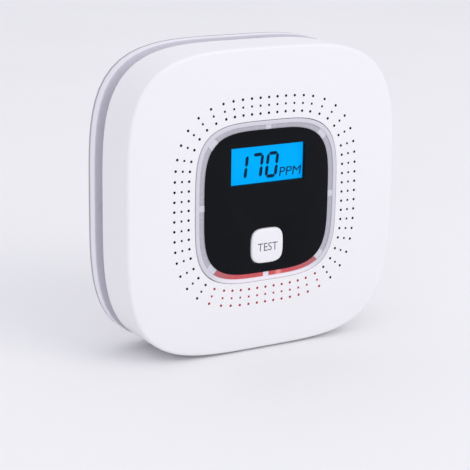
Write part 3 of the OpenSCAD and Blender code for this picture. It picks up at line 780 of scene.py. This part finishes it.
def painted_glow_band():
    """The sunk band: grey where it is dark, with a painted red glow along the two lower stretches."""
    finish = Finish("painted_glow_band", Coat_Weight=0.3, Coat_Roughness=0.1, Emission_Strength=1.0)
    x, y, z = finish.axes()
    haze = finish.noise(700, 3)
    bottom = z.below(-26.2 * MM, -25.6 * MM)
    corners = z.below(-21.5 * MM, -21 * MM) * abs(x).below(23.5 * MM, 24 * MM)
    lower = finish.node("ShaderNodeMath", {"operation": "MINIMUM"}, {0: bottom + corners, 1: 1.0})
    ends = abs(x).above(10 * MM, 24 * MM)
    # Painted highlight: the glow is brightest at one spot and duller towards the ends.
    painted_glow_spot = abs(x - 5.6 * MM).below(0.0, 2 * MM)
    dull = finish.blend(ends, (0.46, 0.035, 0.045), (0.29, 0.08, 0.1))
    glow = finish.blend(painted_glow_spot, dull, (0.68, 0.22, 0.18))
    dim = finish.blend(haze, (0.42, 0.41, 0.47), (0.48, 0.47, 0.53))
    finish.drive("Base Color", finish.blend(lower, dim, (0.12, 0.03, 0.035)))
    # Painted glow: red emission on the lower stretches.
    finish.drive("Emission Color", finish.blend(lower, (0, 0, 0), glow))
    finish.drive("Roughness", 0.22 + haze * 0.1)
    finish.bump(haze, 0.00001)
    return finish.material


bm = bmesh.new()
ring_back = ring_high.y - 0.8 * MM
profile = [(RING_OUT, ring_back), (RING_OUT, RING_FRONT + 0.25 * MM),
           (RING_OUT - 0.08 * MM, RING_FRONT + 0.08 * MM), (RING_OUT - 0.25 * MM, RING_FRONT),
           (RING_STEP + 0.2 * MM, RING_FRONT), (RING_STEP + 0.06 * MM, RING_FRONT + 0.06 * MM),
           (RING_STEP, RING_FRONT + 0.2 * MM), (RING_STEP, BAND_Y), (RING_IN, BAND_Y), (RING_IN, ring_back)]
closed_skin(bm, [square_loop(half, y) for half, y in profile])
for k in range(8):
    angle = k * pi / 4
    start = RING_IN * reach(angle, CORNER_POWER) + 0.05 * MM
    end = (RING_STEP + 0.3 * MM) * reach(angle, CORNER_POWER)
    wide = RIB_WIDTH if k % 2 == 0 else DIAGONAL_RIB_WIDTH
    size = Matrix.Diagonal((end - start, BAND_Y - RING_FRONT - 0.25 * MM, wide, 1))
    centre = Matrix.Translation(((start + end) / 2, (BAND_Y + RING_FRONT + 0.3 * MM) / 2, 0))
    place = Matrix.Rotation(-angle, 4, "Y") @ centre @ size
    rib = bmesh.ops.create_cube(bm, size=1, matrix=place)["verts"]
    rib_edges = list({e for v in rib for e in v.link_edges})
    bmesh.ops.bevel(bm, geom=rib_edges, offset=0.12 * MM, segments=3, profile=0.5, affect="EDGES",
                    material=-1)
ring = put_in_scene(bm, "clear-ring", "detector", "light_ring", clear_ring(), smooth_under=40)
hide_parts("light_ring")

# A thin skin on the band, which carries the painted red glow.
bm = bmesh.new()
band_top = BAND_Y - 0.12 * MM
profile = [(RING_STEP - 0.02 * MM, BAND_Y), (RING_STEP - 0.02 * MM, band_top),
           (RING_IN + 0.02 * MM, band_top), (RING_IN + 0.02 * MM, BAND_Y)]
closed_skin(bm, [square_loop(half, y) for half, y in profile])
band = put_in_scene(bm, "painted-glow-band", "detector", "light_ring", painted_glow_band(), smooth_under=40)

# ---- Display ----
# A liquid crystal display lit blue from behind. The number's slanted segments and the unit beside it
# are dark shapes in the glass.

WINDOW_LOW, WINDOW_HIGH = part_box("display_window")
GLASS_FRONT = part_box("lcd_glass")[0].y
DIGIT_TALL = 9.9 * MM
DIGIT_LOW = 8.35 * MM
DIGIT_WIDE = 5.3 * MM
DIGIT_PITCH = 6.53 * MM
DIGIT_RIGHT = 5.35 * MM
DIGIT_LEAN = 0.115
SEGMENT = 1.3 * MM
SEGMENT_GAP = 0.11 * MM
PRINT_THICK = 0.03 * MM


def lit_glass():
    """Blue light through the glass, a touch deeper towards the edges."""
    finish = Finish("lit_glass", Emission_Strength=0.92, Specular_IOR_Level=0.02)
    x, y, z = finish.axes()
    cloud = finish.noise(60, 2)
    edge = abs(x).above(12.5 * MM, 16.5 * MM) * 0.5
    glow = finish.blend(edge, (0.0, 0.40, 1.0), (0.0, 0.33, 0.92))
    finish.drive("Emission Color", finish.blend(cloud * 0.15, glow, (0.0, 0.43, 1.0)))
    finish.drive("Base Color", finish.blend(cloud, (0.0, 0.12, 0.3), (0.0, 0.14, 0.34)))
    finish.drive("Roughness", 0.15 + cloud * 0.05)
    return finish.material


def dark_crystal():
    """Turned crystal: nearly black with a blue cast."""
    finish = Finish("dark_crystal", Emission_Strength=0.04, Specular_IOR_Level=0.02)
    cloud = finish.noise(900, 2)
    finish.drive("Base Color", finish.blend(cloud, (0.004, 0.014, 0.035), (0.006, 0.02, 0.05)))
    finish.drive("Emission Color", finish.blend(cloud, (0.0, 0.1, 0.3), (0.0, 0.12, 0.35)))
    finish.drive("Roughness", 0.4 + cloud * 0.1)
    return finish.material


glass = merged_copy("lcd_glass")
glass = put_in_scene(glass, "display-glass", "detector", "lcd_glass", lit_glass())
break_edges(glass, 0.15 * MM)
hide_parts("lcd_glass")

SEGMENTS = {"0": "abcdef", "1": "bc", "7": "abc"}


def segment_bar(bm, letter, left, low):
    """One bar of a digit, pointed at both ends."""
    half = SEGMENT / 2
    top = DIGIT_TALL - half
    mid = DIGIT_TALL / 2
    right = DIGIT_WIDE - half
    ends = {"a": ((half, top), (right, top)), "b": ((right, mid), (right, top)),
            "c": ((right, half), (right, mid)), "d": ((half, half), (right, half)),
            "e": ((half, half), (half, mid)), "f": ((half, mid), (half, top))}[letter]
    start, end = Vector(ends[0]), Vector(ends[1])
    along = (end - start).normalized()
    across = Vector((-along.y, along.x))
    start += along * SEGMENT_GAP
    end -= along * SEGMENT_GAP
    corners = [start, start + (along + across) * half, end + (across - along) * half, end,
               end - (across + along) * half, start + (along - across) * half]
    verts = []
    for c in corners:
        z = low + c.y
        lean = (c.y - DIGIT_TALL / 2) * DIGIT_LEAN
        verts.append(bm.verts.new((left + c.x + lean, GLASS_FRONT, z)))
    face = bm.faces.new(verts)
    made = bmesh.ops.extrude_face_region(bm, geom=[face])["geom"]
    front = [v for v in made if isinstance(v, bmesh.types.BMVert)]
    bmesh.ops.translate(bm, verts=front, vec=(0, -PRINT_THICK, 0))


bm = bmesh.new()
for place, digit in enumerate("170"):
    left = DIGIT_RIGHT - DIGIT_WIDE - (2 - place) * DIGIT_PITCH
    for letter in SEGMENTS[digit]:
        segment_bar(bm, letter, left, DIGIT_LOW)
bmesh.ops.recalc_face_normals(bm, faces=bm.faces)
crystal = dark_crystal()
put_in_scene(bm, "display-digits", "detector", "lcd_glass", crystal)


def lettering(name, words, height, width, centre, lean, y, material, body, slot):
    """Flat printed letters, drawn as text, made a mesh and then set in their place."""
    curve = bpy.data.curves.new(name, "FONT")
    curve.body = words
    curve.align_x = "CENTER"
    curve.align_y = "CENTER"
    curve.extrude = 0.01
    drawn = bpy.data.objects.new(name, curve)
    bpy.context.scene.collection.objects.link(drawn)
    mesh = bpy.data.meshes.new_from_object(drawn.evaluated_get(bpy.context.evaluated_depsgraph_get()))
    bpy.data.objects.remove(drawn)
    bm = bmesh.new()
    bm.from_mesh(mesh)
    bpy.data.meshes.remove(mesh)
    bmesh.ops.remove_doubles(bm, verts=bm.verts, dist=1e-5)
    xs = [v.co.x for v in bm.verts]
    ys = [v.co.y for v in bm.verts]
    wide, tall = max(xs) - min(xs), max(ys) - min(ys)
    for v in bm.verts:
        across = (v.co.x - (max(xs) + min(xs)) / 2) / wide * width
        up = (v.co.y - (max(ys) + min(ys)) / 2) / tall * height
        v.co = Vector((centre[0] + across + lean * up, y - PRINT_THICK if v.co.z > 0 else y, centre[1] + up))
    bmesh.ops.recalc_face_normals(bm, faces=bm.faces)
    put_in_scene(bm, name, body, slot, material)


lettering("display-unit", "PPM", 3.4 * MM, 9.3 * MM, (10.75 * MM, 10.2 * MM), DIGIT_LEAN,
          GLASS_FRONT, crystal, "detector", "lcd_glass")

# ---- Window and panel ----
# The black panel is one polished acrylic plate with a clear pane let into it over the display and a
# hole for the button. It lies a hair in front of the cover's face.


def clear_pane():
    """Clear acrylic, seen only by its gloss."""
    finish = Finish("clear_pane", Specular_IOR_Level=0.1)
    film = finish.noise(300, 2)
    finish.drive("Base Color", finish.blend(film, (0.0, 0.05, 0.1), (0.0, 0.06, 0.12)))
    finish.drive("Alpha", 0.05 + film * 0.02)
    finish.drive("Roughness", 0.05 + film * 0.03)
    return finish.material


def black_acrylic():
    """Polished black acrylic with a soft, even sheen and the finest wipe marks."""
    finish = Finish("black_acrylic", Specular_IOR_Level=0.07)
    film = finish.noise(40, 4, 0.6)
    finish.drive("Base Color", finish.blend(film, (0.0042, 0.0048, 0.0066), (0.0055, 0.0062, 0.0085)))
    wipe = finish.node("ShaderNodeTexNoise", {}, {
        "Vector": finish.node("ShaderNodeMapping", {}, {"Vector": finish.place, "Scale": (60.0, 1.0, 700.0),
                                                        "Rotation": (0.0, radians(24), 0.0)}),
        "Scale": 3.0, "Detail": 3.0})
    finish.drive("Roughness", 0.12 + film * 0.05 + wipe * 0.05)
    finish.bump(wipe, 0.0000008)
    return finish.material


def plate_with_holes(outer, holes, y_front, y_back, radius):
    """A flat plate between two planes, with its front edges rounded."""
    bm = bmesh.new()
    for outline in (outer, *holes):
        add_loop(bm, outline)
    bmesh.ops.triangle_fill(bm, edges=bm.edges[:], use_beauty=True, use_dissolve=False)
    made = bmesh.ops.extrude_face_region(bm, geom=bm.faces[:])["geom"]
    front = [v for v in made if isinstance(v, bmesh.types.BMVert)]
    bmesh.ops.translate(bm, verts=front, vec=(0, y_front - y_back, 0))
    bmesh.ops.dissolve_limit(bm, angle_limit=radians(0.5), verts=bm.verts, edges=bm.edges)
    bmesh.ops.recalc_face_normals(bm, faces=bm.faces)
    sharp = [e for e in bm.edges if e.calc_face_angle(0) > 1
             and all(abs(v.co.y - y_front) < 1e-7 for v in e.verts)]
    bmesh.ops.bevel(bm, geom=sharp, offset=radius, segments=3, profile=0.5, affect="EDGES", material=-1)
    return bm


def window_corners(grow, y):
    left, right = pane_low.x - grow, pane_high.x + grow
    bottom, top = pane_low.z - grow, pane_high.z + grow
    return [Vector((left, y, bottom)), Vector((right, y, bottom)),
            Vector((right, y, top)), Vector((left, y, top))]


button_low, button_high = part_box("test_button")
BUTTON_FLANGE = 1.3 * MM
SLIDE_GAP = 0.25 * MM
pane_low = WINDOW_LOW + Vector((0.6 * MM, 0, 0.9 * MM))
pane_high = WINDOW_HIGH - Vector((0.45 * MM, 0, 0.75 * MM))
button_centre = ((button_low.x + button_high.x) / 2, (button_low.z + button_high.z) / 2 - 0.3 * MM)
BUTTON_HALF = button_high.x - BUTTON_FLANGE
BUTTON_TALL = (button_high.z - button_low.z) / 2 - BUTTON_FLANGE
BUTTON_POWER = 3.6

bm = plate_with_holes(
    square_loop(PANEL_HALF, panel_high.y, tall=PANEL_TALL),
    [window_corners(0.05 * MM, panel_high.y),
     square_loop(BUTTON_HALF + SLIDE_GAP, panel_high.y, BUTTON_POWER, 64, BUTTON_TALL + SLIDE_GAP,
                 button_centre)],
    panel_low.y, panel_high.y, 0.2 * MM)
panel = put_in_scene(bm, "panel", "detector", "lens_panel", black_acrylic())
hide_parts("lens_panel")

bm = plate_with_holes(window_corners(-0.02 * MM, panel_high.y), [], WINDOW_LOW.y, panel_high.y, 0.1 * MM)
pane = put_in_scene(bm, "pane", "detector", "display_window", clear_pane())
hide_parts("display_window")

# ---- Test button and its switch ----
# A white button that stands just proud of the panel, with the word for what it does printed on it.
# Behind it a stem presses the small switch on the board.

button_white = moulded_plastic("button_plastic", (0.83, 0.825, 0.86), 0.32, grain=2600, depth=0.000005,
                               spread=0.015, Coat_Weight=0.1)
legend_grey = moulded_plastic("legend_ink", (0.13, 0.13, 0.14), 0.6, grain=5000, spread=0.1)
CAP_RADIUS = 0.75 * MM
STEM_RADIUS = 2 * MM

bm = bmesh.new()
flange_front = button_low.y + 0.6 * MM + (panel_high.y - panel_low.y) + 0.2 * MM
flange_back = flange_front + 0.8 * MM
sections = [(BUTTON_HALF - CAP_RADIUS * (1 - sin(t)), button_low.y + CAP_RADIUS * (1 - cos(t)))
            for t in quarter_steps]
sections += [(BUTTON_HALF, flange_front), (BUTTON_HALF + BUTTON_FLANGE, flange_front),
             (BUTTON_HALF + BUTTON_FLANGE, flange_back)]
loops = [square_loop(half, y, BUTTON_POWER, 96, half - BUTTON_HALF + BUTTON_TALL, button_centre)
         for half, y in sections]
skin(bm, add_loop(bm, loops[0]), *loops[1:])
bmesh.ops.holes_fill(bm, edges=bm.edges[:], sides=0)
stem_place = Matrix.Translation((button_centre[0], (flange_back + button_high.y) / 2, button_centre[1]))
bmesh.ops.create_cone(bm, cap_ends=True, segments=32, radius1=STEM_RADIUS, radius2=STEM_RADIUS,
                      depth=button_high.y - flange_back,
                      matrix=stem_place @ Matrix.Rotation(pi / 2, 4, "X"))
bmesh.ops.recalc_face_normals(bm, faces=bm.faces)
button = put_in_scene(bm, "button", "test_button", "test_button", button_white, smooth_under=40)
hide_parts("test_button")
lettering("button-legend", "TEST", 3.1 * MM, 8.6 * MM, (button_centre[0], button_centre[1] - 0.4 * MM),
          0.0, button_low.y, legend_grey, "test_button", "test_button")
carry_over("switch_plunger", black_epoxy)

# ---- Floor, light and camera ----
# A plain pale floor just under the detector. A broad soft light from the upper right, a faint one
# from the left and an even surround light it.

FLOOR_Z = plate_low.z - 0.1 * MM


def pale_floor():
    finish = Finish("pale_floor")
    cloud = finish.noise(6, 3)
    finish.drive("Base Color", finish.blend(cloud, (0.86, 0.86, 0.87), (0.9, 0.9, 0.91)))
    finish.drive("Roughness", 0.7 + cloud * 0.1)
    return finish.material


bm = bmesh.new()
bmesh.ops.create_grid(bm, x_segments=1, y_segments=1, size=6, matrix=Matrix.Translation((0, 0, FLOOR_Z)))
mesh = bpy.data.meshes.new("floor")
bm.to_mesh(mesh)
bm.free()
mesh.materials.append(pale_floor())
floor = bpy.data.objects.new("floor", mesh)
bpy.context.scene.collection.objects.link(floor)

world = bpy.data.worlds.new("surround")
world.use_nodes = True
world.node_tree.nodes["Background"].inputs["Color"].default_value = (0.945, 0.94, 1.0, 1)
world.node_tree.nodes["Background"].inputs["Strength"].default_value = 0.92
bpy.context.scene.world = world
bpy.context.scene.view_settings.view_transform = "Standard"

face_middle = Vector((0, FACE_Y, 0))


def soft_light(name, place, size, power, colour=(1, 1, 1)):
    lamp = bpy.data.lights.new(name, "AREA")
    lamp.shape = "SQUARE"
    lamp.size = size
    lamp.energy = power
    lamp.color = colour
    holder = bpy.data.objects.new(name, lamp)
    holder.location = place
    holder.rotation_euler = (face_middle - Vector(place)).to_track_quat("-Z", "Y").to_euler()
    bpy.context.scene.collection.objects.link(holder)


soft_light("key", (0.5, -1.2, 0.9), 1.0, 5.6, (1.0, 0.98, 0.92))
soft_light("fill", (-0.9, -0.8, 0.7), 1.0, 0.6)

VIEW_TURN = radians(-31.74)
VIEW_RISE = radians(13.75)
VIEW_ROLL = radians(0.84)
DISTANCE = 0.579
back = Vector((sin(VIEW_TURN) * cos(VIEW_RISE), -cos(VIEW_TURN) * cos(VIEW_RISE), sin(VIEW_RISE)))
right = Vector((cos(VIEW_TURN), sin(VIEW_TURN), 0))
up = back.cross(right)
camera_data = bpy.data.cameras.new("camera")
camera_data.lens = 119.5
camera_data.sensor_width = 36
camera = bpy.data.objects.new("camera", camera_data)
camera.location = face_middle + DISTANCE * back
aim = face_middle - 11.75 * MM * right - 12.85 * MM * up
facing = (aim - camera.location).to_track_quat("-Z", "Y")
camera.rotation_euler = (facing @ Quaternion((0, 0, 1), VIEW_ROLL)).to_euler()
bpy.context.scene.collection.objects.link(camera)
bpy.context.scene.camera = camera
